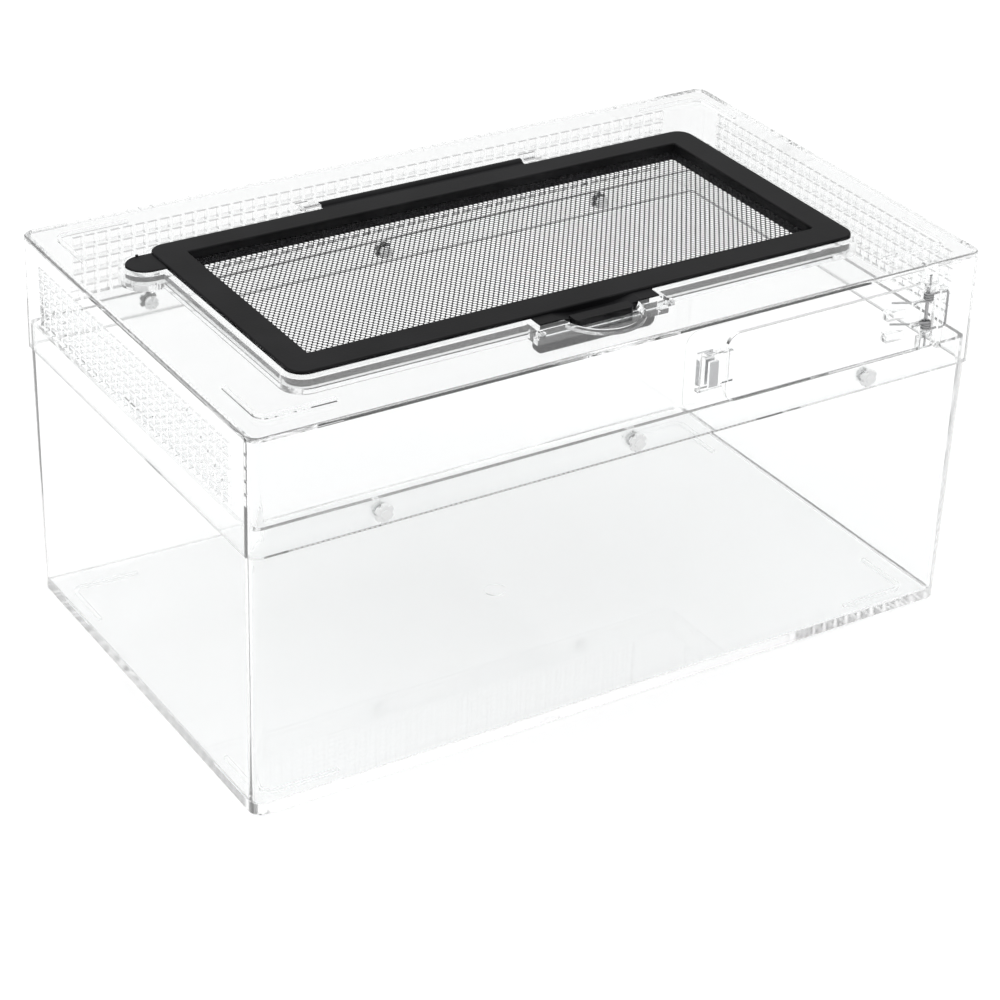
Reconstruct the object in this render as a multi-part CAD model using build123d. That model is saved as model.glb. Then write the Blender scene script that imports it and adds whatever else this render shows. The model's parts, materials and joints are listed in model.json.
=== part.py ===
from build123d import *
import math
import os

# A clear two-piece breeding box for small reptiles. Millimetres, +Z up, origin on the table
# below the middle of the box. X runs along the box, and the front with the small door faces -Y.

# Box and lid
BOX_LENGTH = 320.0
BOX_DEPTH = 190.0
LID_HEIGHT = 47.5
LID_WALL = 2.5
LID_PLATE = 2.5
LID_CORNER_R = 5.0
LID_EDGE_R = 1.0
SHOULDER_Z = 110.2
SEAM_GAP = 0.3

# Tub
FOOT_HEIGHT = 1.2
FLOOR_THICK = 3.0
RIM_HEIGHT = 10.8
RIM_WALL = 1.8
RIM_GAP = 0.2
SHOULDER_INSET = 0.8
BASE_INSET = 2.4
BASE_WALL = 2.5
FLOOR_FILLET = 1.5
GATE_DISC_R = 4.5
GATE_DISC_HEIGHT = 0.4

# Corner ribs on the lid and the feet that nest between them when boxes are stacked
RIB_INSET_X = 9.0
RIB_INSET_Y = 11.0
RIB_LEG_X = 31.0
RIB_LEG_Y = 27.0
RIB_WIDTH = 1.5
RIB_HEIGHT = 1.2
RIB_CORNER_R = 5.0
STACK_GAP = 1.0

# Square air holes in the two ends and the back
VENT_HOLE = 4.0
VENT_PITCH_BACK = 5.37
VENT_PITCH_END = 5.3
VENT_PITCH_Z = 5.3
VENT_ROWS = 5
VENT_MARGIN_BACK = 20.0
VENT_MARGIN_END = 15.0
VENT_BELOW_TOP = 21.0

# Push rivets through the skirt and the rim
RIVET_SPACING = 107.4
RIVET_ABOVE_SHOULDER = 5.6
RIVET_SHANK_R = 2.0
RIVET_HEAD_R = 3.8
RIVET_HEAD_HEIGHT = 1.4
RIVET_SCALLOP_R = 0.9
RIVET_SCALLOPS = 6
RIVET_FOOT_R = 2.7
RIVET_FOOT_HEIGHT = 1.4
RIVET_BORE_R = 1.05
RIVET_SPLIT = 0.6
RIVET_PIN_HEAD_R = 1.8
RIVET_PIN_HEAD_HEIGHT = 0.6
RIVET_HOLE_GAP = 0.05
RIVET_SEAT_GAP = 0.1

# Top door
DOOR_LENGTH = 249.0
DOOR_DEPTH = 119.0
DOOR_CENTRE_Y = -1.5
DOOR_CORNER_R = 6.5
DOOR_PROUD = 1.0
DOOR_EDGE_R = 0.7
RAIL_SIDE = 12.3
RAIL_FRONT = 13.0
RAIL_BACK = 11.0
WINDOW_CORNER_R = 0.8
UPPER_FRAME_THICK = 3.5
LOWER_FRAME_THICK = 3.9
LOWER_FRAME_INSET = 0.4

# Black net clamped between the two frames
NET_LAP = 4.0
NET_THICK = 0.3
NET_STRAND = 0.9
NET_PITCH_X = 11.0
NET_PITCH_Y = 13.4
NET_POCKET_GAP = 0.1

# Round tab at the left of the top door
TAB_FROM_BACK = 11.3
TAB_REACH = 13.3
TAB_R = 7.5
TAB_BELOW_TOP = 0.8
TAB_THICK = 3.9
TAB_SKIRT_SHORT = 1.0
TAB_GROOVE = 0.6
TAB_GROOVE_BELOW_TOP = 1.6
TAB_GROOVE_DEPTH = 0.9
TAB_NUB_R = 0.6
TAB_NUB_RISE = 0.5

# Front lip, grip bar and latch plate of the top door
LIP_HALF_WIDTH = 26.4
LIP_REACH = 6.0
LIP_BELOW_TOP = 1.0
SCOOP_HALF_WIDTH = 18.0
SCOOP_FLAT_HALF_WIDTH = 9.0
SCOOP_DEPTH = 1.7
GRIP_HALF_WIDTH = 13.0
GRIP_DEPTH = 4.0
GRIP_ROOT = 1.2
LATCH_BEHIND_LIP = 2.0
LATCH_THICK = 2.4
LATCH_HEIGHT = 12.5
LATCH_CORNER_R = 3.0

# Recess in the lid that the top door lies in
WELL_GAP = 0.6
WELL_WALL = 2.0
WELL_LEDGE_THICK = 1.8
WELL_LEDGE_GAP = 0.3
WELL_LEDGE_SETBACK = 4.0
LATCH_GAP = 1.0
LATCH_SLOT_GAP = 0.6
BAY_R = 15.5
BAY_DRAFT = 1.0
BAY_SETBACK = 1.4
BAY_BELOW_GRIP = 0.3
BAY_FLOOR_THICK = 1.0
PEG_SIDE = 3.0
PEG_LENGTH = 2.4
PEG_HOLE_R = 0.7
PEG_BELOW_TOP = 3.0

# Back hinge of the top door
HINGE_BEHIND_DOOR = 4.8
HINGE_BELOW_TOP = 1.0
BARREL_R = 2.2
BARREL_HALF_LENGTH = 46.8
BARREL_END_GAP = 0.3
TOP_PIN_R = 0.8
PIN_RUNNING_GAP = 0.04
PIN_SEAT_GAP = 0.02
LUG_LENGTH = 8.6
LUG_BEFORE_PIN = 2.2
LUG_BEHIND_PIN = 3.6
LUG_HEIGHT = 1.2
LUG_CAP = 2.3

# Front feeding door, hung on an upright pin at its right end
PANEL_FROM_END = 28.5
PANEL_LENGTH = 92.3
PANEL_ABOVE_RIM = 1.0
PANEL_HEIGHT = 28.0
PANEL_THICK = 2.4
PANEL_CORNER_R = 5.0
PANEL_GAP = 0.3
FRONT_PIN_BESIDE_PANEL = 3.5
FRONT_PIN_R = 0.72
FRONT_PIN_BITE = 4.0
JAMB_BESIDE_PIN = 3.4
BOSS_LEFT = 2.7
BOSS_LAP = 0.7
BOSS_DEPTH = 4.5
BOSS_ABOVE_RIM = 0.4
TOP_BOSS_DROP = 1.0
LOW_BOSS_RISE = 4.5
KNUCKLE_R = 2.3
KNUCKLE_WEB_R = 1.1
KNUCKLE_HEIGHT = 2.4
KNUCKLE_GAP = 0.3

# Ear of the feeding door with its magnet, and the magnet behind the wall
EAR_BESIDE_PANEL = 4.0
EAR_LENGTH = 10.7
EAR_RISE = 2.5
EAR_HEIGHT = 15.0
EAR_GAP = 0.3
EAR_THICK = 2.8
EAR_EDGE_R = 0.8
BRIDGE_THICK = 1.9
BRIDGE_LAP = 1.2
BRIDGE_SHORT = 1.2
MAGNET_LENGTH = 4.0
MAGNET_HEIGHT = 10.4
MAGNET_THICK = 2.2
MAGNET_ASIDE = 1.2
MAGNET_DROP = 1.1
MAGNET_GAP = 0.05
MAGNET_SINK = 0.2
HOLDER_WALL = 1.4

# Double torsion spring of the feeding door
WIRE_R = 0.45
COIL_R = 1.9
COIL_TURNS = 2
COIL_PITCH = 1.45
COIL_FROM_MIDDLE = 4.6
LEG_REACH = 14.5
LEG_INWARD = 5.2
LOOP_BESIDE_POST = 2.6
LOOP_BEND_R = 1.5
LOOP_WALL_GAP = 0.05
FINGER_LEFT = 19.0
FINGER_RIGHT = 10.4
FINGER_FLAT = 4.0
FINGER_THICK = 3.6
FINGER_GAP = 0.3
LEG_SLOT_GAP = 0.4
POST_WIDTH = 2.3
POST_BESIDE_JAMB = 0.2
POST_THICK = 1.1
POST_WIRE_GAP = 0.25
POST_SHORT = 2.0
POST_FOOT = 1.6
GAP_SAMPLES = 600

# Low pad that the moulding leaves inside the front wall, round the feeding door
PAD_BESIDE_EAR = 4.0
PAD_FROM_END = 10.0
PAD_THICK = 0.25
PAD_CORNER_R = 6.0
PAD_ABOVE_RIM = 0.6
PAD_BELOW_PLATE = 0.5

# Levels worked out from the sizes above
LID_BOTTOM_Z = SHOULDER_Z + SEAM_GAP
LID_TOP_Z = LID_BOTTOM_Z + LID_HEIGHT
PLATE_UNDER_Z = LID_TOP_Z - LID_PLATE
RIM_TOP_Z = SHOULDER_Z + RIM_HEIGHT
FLOOR_TOP_Z = FOOT_HEIGHT + FLOOR_THICK
FRONT_Y = -BOX_DEPTH / 2
INSIDE_FRONT_Y = FRONT_Y + LID_WALL
RIM_OUTER_LENGTH = BOX_LENGTH - 2 * (LID_WALL + RIM_GAP)
RIM_OUTER_DEPTH = BOX_DEPTH - 2 * (LID_WALL + RIM_GAP)
DOOR_TOP_Z = LID_TOP_Z + DOOR_PROUD
FRAME_SPLIT_Z = DOOR_TOP_Z - UPPER_FRAME_THICK
DOOR_BOTTOM_Z = FRAME_SPLIT_Z - LOWER_FRAME_THICK
LEDGE_TOP_Z = DOOR_BOTTOM_Z - WELL_LEDGE_GAP
LEDGE_BOTTOM_Z = LEDGE_TOP_Z - WELL_LEDGE_THICK
DOOR_FRONT_Y = DOOR_CENTRE_Y - DOOR_DEPTH / 2
DOOR_BACK_Y = DOOR_CENTRE_Y + DOOR_DEPTH / 2
DOOR_LEFT_X = -DOOR_LENGTH / 2
TAB_CENTRE_X = DOOR_LEFT_X + TAB_R - TAB_REACH
TAB_CENTRE_Y = DOOR_BACK_Y - TAB_FROM_BACK
TAB_TOP_Z = DOOR_TOP_Z - TAB_BELOW_TOP
TAB_ROOT_Z = TAB_TOP_Z - TAB_THICK
WINDOW_LENGTH = DOOR_LENGTH - 2 * RAIL_SIDE
WINDOW_DEPTH = DOOR_DEPTH - RAIL_FRONT - RAIL_BACK
WINDOW_CENTRE_Y = DOOR_CENTRE_Y + (RAIL_FRONT - RAIL_BACK) / 2
LIP_FRONT_Y = DOOR_FRONT_Y - LIP_REACH
LATCH_FRONT_Y = LIP_FRONT_Y + LATCH_BEHIND_LIP
STEP_FRONT_Y = LIP_FRONT_Y - LATCH_GAP
STEP_HALF_WIDTH = LIP_HALF_WIDTH + WELL_GAP
BAY_CENTRE_Y = STEP_FRONT_Y + BAY_SETBACK
BAY_FLOOR_Z = FRAME_SPLIT_Z - BAY_BELOW_GRIP
HINGE_Y = DOOR_BACK_Y + HINGE_BEHIND_DOOR
HINGE_Z = LID_TOP_Z - HINGE_BELOW_TOP
TOP_PIN_HALF_LENGTH = BARREL_HALF_LENGTH + BARREL_END_GAP + LUG_LENGTH - LUG_CAP
PANEL_RIGHT_X = BOX_LENGTH / 2 - PANEL_FROM_END
PANEL_LEFT_X = PANEL_RIGHT_X - PANEL_LENGTH
PANEL_BOTTOM_Z = RIM_TOP_Z + PANEL_ABOVE_RIM
PANEL_TOP_Z = PANEL_BOTTOM_Z + PANEL_HEIGHT
LOOP_Y = FRONT_Y - WIRE_R - LOOP_WALL_GAP
FRONT_PIN_X = PANEL_RIGHT_X + FRONT_PIN_BESIDE_PANEL
FRONT_PIN_Y = LOOP_Y + COIL_R
JAMB_X = FRONT_PIN_X + JAMB_BESIDE_PIN
TOP_BOSS_BOTTOM_Z = PANEL_TOP_Z - TOP_BOSS_DROP
LOW_BOSS_TOP_Z = PANEL_BOTTOM_Z + LOW_BOSS_RISE
FRONT_PIN_BOTTOM_Z = LOW_BOSS_TOP_Z - FRONT_PIN_BITE
FRONT_PIN_TOP_Z = TOP_BOSS_BOTTOM_Z + FRONT_PIN_BITE
TOP_KNUCKLE_Z = TOP_BOSS_BOTTOM_Z - KNUCKLE_GAP - KNUCKLE_HEIGHT
LOW_KNUCKLE_Z = LOW_BOSS_TOP_Z + KNUCKLE_GAP
SPRING_MIDDLE_Z = (TOP_KNUCKLE_Z + LOW_KNUCKLE_Z + KNUCKLE_HEIGHT) / 2
POST_X = JAMB_X + POST_BESIDE_JAMB
POST_BACK_Y = LOOP_Y - WIRE_R - POST_WIRE_GAP
RIVET_Z = SHOULDER_Z + RIVET_ABOVE_SHOULDER
RIVET_GRIP = LID_WALL + RIM_GAP + RIM_WALL
EAR_LEFT_X = PANEL_LEFT_X - EAR_BESIDE_PANEL - EAR_LENGTH
EAR_BOTTOM_Z = PANEL_BOTTOM_Z + (PANEL_HEIGHT - EAR_HEIGHT) / 2 + EAR_RISE
MAGNET_X = EAR_LEFT_X + EAR_LENGTH / 2 + MAGNET_ASIDE
MAGNET_Z = EAR_BOTTOM_Z + EAR_HEIGHT / 2 - MAGNET_DROP
CUT_MARGIN = 5.0


def block(x0, x1, y0, y1, z0, z1):
    """A box between two corners."""
    size = Box(x1 - x0, y1 - y0, z1 - z0)
    return Pos((x0 + x1) / 2, (y0 + y1) / 2, (z0 + z1) / 2) * size


def slab(plan, z0, z1):
    """A flat outline raised from one level to another."""
    return Pos(0, 0, z0) * extrude(plan, z1 - z0)


def rounded(length, depth, radius, y=0.0):
    """A rounded rectangle, centred on x = 0."""
    return Pos(0, y) * RectangleRounded(length, depth, radius)


def upright(x, y, radius, z0, z1):
    """A cylinder that stands upright."""
    return Pos(x, y, (z0 + z1) / 2) * Cylinder(radius, z1 - z0)


def bar_along_x(x0, x1, y, z, radius):
    """A cylinder that lies along X."""
    return Pos((x0 + x1) / 2, y, z) * Rot(0, 90, 0) * Cylinder(radius, x1 - x0)


def corner_rib(corner_x, corner_y, z0, z1):
    """An L-shaped rib with a rounded outer corner, turned into the corner it stands in."""
    outer = RectangleRounded(2 * RIB_LEG_X, 2 * RIB_LEG_Y, RIB_CORNER_R)
    inner_size = (2 * (RIB_LEG_X - RIB_WIDTH), 2 * (RIB_LEG_Y - RIB_WIDTH))
    inner = RectangleRounded(*inner_size, RIB_CORNER_R - RIB_WIDTH)
    side_x = math.copysign(1, corner_x)
    side_y = math.copysign(1, corner_y)
    quarter = Pos(side_x * RIB_LEG_X / 2, side_y * RIB_LEG_Y / 2) * Rectangle(RIB_LEG_X, RIB_LEG_Y)
    plan = (outer - inner) & quarter
    place = Pos(corner_x - side_x * RIB_LEG_X, corner_y - side_y * RIB_LEG_Y)
    return slab(place * plan, z0, z1)


def corner_ribs(inset, z0, z1):
    """The four L-shaped ribs that lie a given distance inside the lid's own ribs."""
    ribs = []
    for side_x in (-1, 1):
        for side_y in (-1, 1):
            corner_x = side_x * (BOX_LENGTH / 2 - RIB_INSET_X - inset)
            corner_y = side_y * (BOX_DEPTH / 2 - RIB_INSET_Y - inset)
            ribs.append(corner_rib(corner_x, corner_y, z0, z1))
    return ribs


def rivet_places():
    """Where the rivets go: name, x and the side of the box, -1 for the front."""
    places = []
    for side_name, side in (("front", -1), ("back", 1)):
        for name, x in (("left", -RIVET_SPACING), ("middle", 0.0), ("right", RIVET_SPACING)):
            places.append((f"{side_name}_{name}", x, side))
    return places


def on_wall(shape, x, side):
    """Carry a shape built along +Y from the front wall's face to a place on the front or back."""
    turn = 0 if side < 0 else 180
    return Pos(x, side * BOX_DEPTH / 2, RIVET_Z) * Rot(0, 0, turn) * shape


def disc_along_y(radius, y0, y1):
    """A cylinder along Y, centred on the axis of a rivet."""
    return Pos(0, (y0 + y1) / 2, 0) * Rot(90, 0, 0) * Cylinder(radius, y1 - y0)


def rivet_holes():
    """The holes that the rivets pass through."""
    drill = disc_along_y(RIVET_SHANK_R + RIVET_HOLE_GAP, -CUT_MARGIN, RIVET_GRIP + CUT_MARGIN)
    return [on_wall(drill, x, side) for _, x, side in rivet_places()]


def base_tub():
    """The clear tub: tapered walls, a shoulder, a thinner rim and four nesting feet."""
    body_bottom = rounded(BOX_LENGTH - 2 * BASE_INSET, BOX_DEPTH - 2 * BASE_INSET, LID_CORNER_R)
    body_top = rounded(BOX_LENGTH - 2 * SHOULDER_INSET, BOX_DEPTH - 2 * SHOULDER_INSET, LID_CORNER_R)
    tub = loft([Pos(0, 0, FOOT_HEIGHT) * body_bottom, Pos(0, 0, SHOULDER_Z) * body_top], ruled=True)
    rim_r = LID_CORNER_R - LID_WALL
    tub += slab(rounded(RIM_OUTER_LENGTH, RIM_OUTER_DEPTH, rim_r), SHOULDER_Z, RIM_TOP_Z)
    inside_inset = 2 * (BASE_INSET + BASE_WALL)
    inside_bottom = rounded(BOX_LENGTH - inside_inset, BOX_DEPTH - inside_inset, rim_r)
    inside_top = rounded(RIM_OUTER_LENGTH - 2 * RIM_WALL, RIM_OUTER_DEPTH - 2 * RIM_WALL, rim_r)
    inside = loft([Pos(0, 0, FLOOR_TOP_Z) * inside_bottom, Pos(0, 0, RIM_TOP_Z) * inside_top], ruled=True)
    inside = fillet(inside.faces().sort_by(Axis.Z)[0].edges(), FLOOR_FILLET)
    tub -= inside
    tub += corner_ribs(RIB_WIDTH + STACK_GAP, 0, FOOT_HEIGHT)
    tub += upright(0, 0, GATE_DISC_R, FOOT_HEIGHT - GATE_DISC_HEIGHT, FOOT_HEIGHT)
    return tub - rivet_holes()


def well_plan(grow):
    """The top door's outline with its lip, tab and hinge pocket, grown all round."""
    plan = rounded(DOOR_LENGTH + 2 * grow, DOOR_DEPTH + 2 * grow, DOOR_CORNER_R + grow, DOOR_CENTRE_Y)
    plan += Pos(TAB_CENTRE_X, TAB_CENTRE_Y) * Circle(TAB_R + grow)
    tab_length = DOOR_LEFT_X - TAB_CENTRE_X + DOOR_CORNER_R
    plan += Pos(TAB_CENTRE_X + tab_length / 2, TAB_CENTRE_Y) * Rectangle(tab_length, 2 * (TAB_R + grow))
    step_y = STEP_FRONT_Y - (grow - WELL_GAP)
    step_depth = DOOR_CENTRE_Y - step_y
    plan += Pos(0, step_y + step_depth / 2) * Rectangle(2 * (LIP_HALF_WIDTH + grow), step_depth)
    pocket_y = HINGE_Y + BARREL_R + grow
    pocket_depth = pocket_y - DOOR_CENTRE_Y
    pocket_half = BARREL_HALF_LENGTH + BARREL_END_GAP + grow - WELL_GAP
    plan += Pos(0, pocket_y - pocket_depth / 2) * Rectangle(2 * pocket_half, pocket_depth)
    return plan


def add_well(lid):
    """Sink the top door's recess into the lid, with its ledge, latch slot and finger bay."""
    lid += slab(well_plan(WELL_GAP + WELL_WALL), LEDGE_BOTTOM_Z, PLATE_UNDER_Z)
    lid += upright(0, BAY_CENTRE_Y, BAY_R + WELL_WALL, BAY_FLOOR_Z - BAY_FLOOR_THICK, PLATE_UNDER_Z)
    lid -= slab(well_plan(WELL_GAP), LEDGE_TOP_Z, LID_TOP_Z + CUT_MARGIN)
    bay_depth = LID_TOP_Z - BAY_FLOOR_Z
    lid -= Pos(0, BAY_CENTRE_Y, BAY_FLOOR_Z + bay_depth / 2) * Cone(BAY_R, BAY_R + BAY_DRAFT, bay_depth)
    opening_length = WINDOW_LENGTH + 2 * WELL_LEDGE_SETBACK
    opening_depth = WINDOW_DEPTH + 2 * WELL_LEDGE_SETBACK
    opening = rounded(opening_length, opening_depth, WINDOW_CORNER_R, WINDOW_CENTRE_Y)
    lid -= slab(opening, LEDGE_BOTTOM_Z - CUT_MARGIN, LEDGE_TOP_Z)
    slot_back_y = LATCH_FRONT_Y + LATCH_THICK + LATCH_SLOT_GAP
    slot = block(
        -STEP_HALF_WIDTH, STEP_HALF_WIDTH, LATCH_FRONT_Y - LATCH_GAP, slot_back_y,
        LEDGE_BOTTOM_Z - CUT_MARGIN, LEDGE_TOP_Z,
    )
    return lid - slot


def add_pegs(lid):
    """Two small square pegs with a hole, on the outer corners of the step in the recess."""
    peg_z = LID_TOP_Z - PEG_BELOW_TOP
    wall_y = STEP_FRONT_Y - WELL_WALL
    for side in (-1, 1):
        peg_x = side * (STEP_HALF_WIDTH + PEG_SIDE / 2)
        peg = Box(PEG_SIDE, PEG_LENGTH, PEG_SIDE)
        lid += Pos(peg_x, wall_y - PEG_LENGTH / 2, peg_z) * peg
        hole = Pos(peg_x, wall_y - PEG_LENGTH, peg_z) * Rot(90, 0, 0) * Cylinder(PEG_HOLE_R, PEG_LENGTH)
        lid -= hole
    return lid


def add_back_lugs(lid):
    """Two raised lugs behind the recess that hold the ends of the top door's pin."""
    lug_x0 = BARREL_HALF_LENGTH + BARREL_END_GAP
    for side in (-1, 1):
        x_ends = sorted((side * lug_x0, side * (lug_x0 + LUG_LENGTH)))
        lid += block(
            *x_ends, HINGE_Y - LUG_BEFORE_PIN, HINGE_Y + LUG_BEHIND_PIN,
            PLATE_UNDER_Z, LID_TOP_Z + LUG_HEIGHT,
        )
    seat_r = TOP_PIN_R + PIN_SEAT_GAP
    return lid - bar_along_x(-TOP_PIN_HALF_LENGTH, TOP_PIN_HALF_LENGTH, HINGE_Y, HINGE_Z, seat_r)


def vent_grid(span, margin, pitch):
    """Centres of a row of air holes that fits between two margins."""
    count = int((span - 2 * margin) // pitch)
    return [(i - (count - 1) / 2) * pitch for i in range(count)]


def vent_cutters():
    """Square bars that cut the air holes in the two ends and the back."""
    rows = [(i - (VENT_ROWS - 1) / 2) * VENT_PITCH_Z for i in range(VENT_ROWS)]
    middle_z = LID_TOP_Z - VENT_BELOW_TOP
    cutters = []
    for row in rows:
        for x in vent_grid(BOX_LENGTH, VENT_MARGIN_BACK, VENT_PITCH_BACK):
            bar = Box(VENT_HOLE, 2 * LID_WALL, VENT_HOLE)
            cutters.append(Pos(x, BOX_DEPTH / 2 - LID_WALL / 2, middle_z + row) * bar)
        for y in vent_grid(BOX_DEPTH, VENT_MARGIN_END, VENT_PITCH_END):
            for side in (-1, 1):
                bar = Box(2 * LID_WALL, VENT_HOLE, VENT_HOLE)
                cutters.append(Pos(side * (BOX_LENGTH / 2 - LID_WALL / 2), y, middle_z + row) * bar)
    return cutters


def add_door_pad(lid):
    """The low pad inside the front wall, with one rounded lower corner."""
    pad_bottom = RIM_TOP_Z + PAD_ABOVE_RIM
    pad_top = PLATE_UNDER_Z - PAD_BELOW_PLATE
    pad = block(
        EAR_LEFT_X - PAD_BESIDE_EAR, BOX_LENGTH / 2 - PAD_FROM_END,
        INSIDE_FRONT_Y - PAD_THICK, INSIDE_FRONT_Y + PAD_THICK, pad_bottom, pad_top,
    )
    left_edges = pad.edges().filter_by(Axis.Y).sort_by(Axis.X)[:2]
    return lid + fillet(left_edges, PAD_CORNER_R)


def add_feeding_opening(lid):
    """The front opening, the two pin bosses, the spring post and the magnet holder."""
    opening = block(
        PANEL_LEFT_X - PANEL_GAP, JAMB_X, FRONT_Y - CUT_MARGIN, INSIDE_FRONT_Y + CUT_MARGIN,
        PANEL_BOTTOM_Z - PANEL_GAP, PANEL_TOP_Z + PANEL_GAP,
    )
    left_edges = opening.edges().filter_by(Axis.Y).sort_by(Axis.X)[:2]
    lid -= fillet(left_edges, PANEL_CORNER_R + PANEL_GAP)
    boss_x0 = FRONT_PIN_X - BOSS_LEFT
    boss_x1 = JAMB_X + BOSS_LAP
    top_boss = (TOP_BOSS_BOTTOM_Z, PLATE_UNDER_Z + LID_PLATE / 2)
    low_boss = (RIM_TOP_Z + BOSS_ABOVE_RIM, LOW_BOSS_TOP_Z)
    for z0, z1 in (top_boss, low_boss):
        lid += block(boss_x0, boss_x1, FRONT_Y, FRONT_Y + BOSS_DEPTH, z0, z1)
    pin_seat = FRONT_PIN_R + PIN_SEAT_GAP
    lid -= upright(FRONT_PIN_X, FRONT_PIN_Y, pin_seat, FRONT_PIN_BOTTOM_Z, FRONT_PIN_TOP_Z)
    post_top_z = PANEL_TOP_Z - POST_SHORT
    lid += block(
        POST_X, POST_X + POST_WIDTH, POST_BACK_Y - POST_THICK, FRONT_Y, PANEL_BOTTOM_Z, post_top_z
    )
    lid -= block(
        POST_X - CUT_MARGIN, POST_X + POST_WIDTH + CUT_MARGIN, POST_BACK_Y, FRONT_Y,
        PANEL_BOTTOM_Z + POST_FOOT, post_top_z - POST_FOOT,
    )
    return lid + magnet_holder()


def magnet_holder():
    """An open clear frame on the inside of the front wall, round the wall magnet."""
    half_length = MAGNET_LENGTH / 2 + MAGNET_GAP
    half_height = MAGNET_HEIGHT / 2 + MAGNET_GAP
    depth = MAGNET_THICK + MAGNET_GAP + MAGNET_SINK
    seat_y = INSIDE_FRONT_Y + PAD_THICK
    holder = block(
        MAGNET_X - half_length - HOLDER_WALL, MAGNET_X + half_length + HOLDER_WALL,
        INSIDE_FRONT_Y, seat_y + depth,
        MAGNET_Z - half_height - HOLDER_WALL, MAGNET_Z + half_height + HOLDER_WALL,
    )
    pocket = block(
        MAGNET_X - half_length, MAGNET_X + half_length, seat_y, seat_y + 2 * depth,
        MAGNET_Z - half_height, MAGNET_Z + half_height,
    )
    return holder - pocket


def lid_cover():
    """The clear lid: one moulding with its vents, recess, lugs, bosses and ribs."""
    lid = slab(rounded(BOX_LENGTH, BOX_DEPTH, LID_CORNER_R), LID_BOTTOM_Z, LID_TOP_Z)
    lid = fillet(lid.faces().sort_by(Axis.Z)[-1].edges(), LID_EDGE_R)
    hollow = rounded(BOX_LENGTH - 2 * LID_WALL, BOX_DEPTH - 2 * LID_WALL, LID_CORNER_R - LID_WALL)
    lid -= slab(hollow, LID_BOTTOM_Z - CUT_MARGIN, PLATE_UNDER_Z)
    lid = add_well(lid)
    lid = add_pegs(lid)
    lid = add_back_lugs(lid)
    lid = add_door_pad(lid)
    lid = add_feeding_opening(lid)
    lid += corner_ribs(0, LID_TOP_Z, LID_TOP_Z + RIB_HEIGHT)
    lid -= rivet_holes()
    return lid - vent_cutters()


def rivet():
    """A clear push rivet: scalloped head, hollow shank and a split foot behind the rim."""
    length = RIVET_GRIP + RIVET_SEAT_GAP + RIVET_FOOT_HEIGHT
    head = disc_along_y(RIVET_HEAD_R, -RIVET_HEAD_HEIGHT, 0)
    head = fillet(head.edges().sort_by(Axis.Y)[0], RIVET_HEAD_HEIGHT / 2)
    for i in range(RIVET_SCALLOPS):
        angle = math.tau * i / RIVET_SCALLOPS
        x = RIVET_HEAD_R * math.cos(angle)
        z = RIVET_HEAD_R * math.sin(angle)
        head -= Pos(x, 0, z) * disc_along_y(RIVET_SCALLOP_R, -RIVET_HEAD_HEIGHT, RIVET_HEAD_HEIGHT)
    body = head + disc_along_y(RIVET_SHANK_R, 0, length)
    body += disc_along_y(RIVET_FOOT_R, length - RIVET_FOOT_HEIGHT, length)
    body -= disc_along_y(RIVET_BORE_R, -RIVET_HEAD_HEIGHT, length)
    split_y = length - RIVET_FOOT_HEIGHT / 2
    split = Box(2 * RIVET_FOOT_R, RIVET_FOOT_HEIGHT, RIVET_SPLIT)
    body -= Pos(0, split_y, 0) * split
    return body - Pos(0, split_y, 0) * Rot(0, 90, 0) * split


def rivet_pin():
    """The pin that spreads a rivet's foot."""
    length = RIVET_GRIP + RIVET_SEAT_GAP + RIVET_FOOT_HEIGHT
    shank = disc_along_y(RIVET_BORE_R - PIN_RUNNING_GAP, -RIVET_HEAD_HEIGHT, length)
    head_y = -RIVET_HEAD_HEIGHT - RIVET_PIN_HEAD_HEIGHT
    head = disc_along_y(RIVET_PIN_HEAD_R, head_y, -RIVET_HEAD_HEIGHT)
    head = chamfer(head.edges().sort_by(Axis.Y)[0], RIVET_PIN_HEAD_HEIGHT / 2)
    return shank + head


def tab_plan(shrink):
    """The outline of the round tab and the root that joins it to the frame."""
    root_length = DOOR_LEFT_X - TAB_CENTRE_X + RAIL_SIDE / 2
    root = Rectangle(root_length, 2 * (TAB_R - shrink))
    plan = Pos(TAB_CENTRE_X, TAB_CENTRE_Y) * Circle(TAB_R - shrink)
    return plan + Pos(TAB_CENTRE_X + root_length / 2, TAB_CENTRE_Y) * root


def window_cut(z0, z1):
    """The window through a frame of the top door."""
    plan = rounded(WINDOW_LENGTH, WINDOW_DEPTH, WINDOW_CORNER_R, WINDOW_CENTRE_Y)
    return slab(plan, z0, z1)


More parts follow.
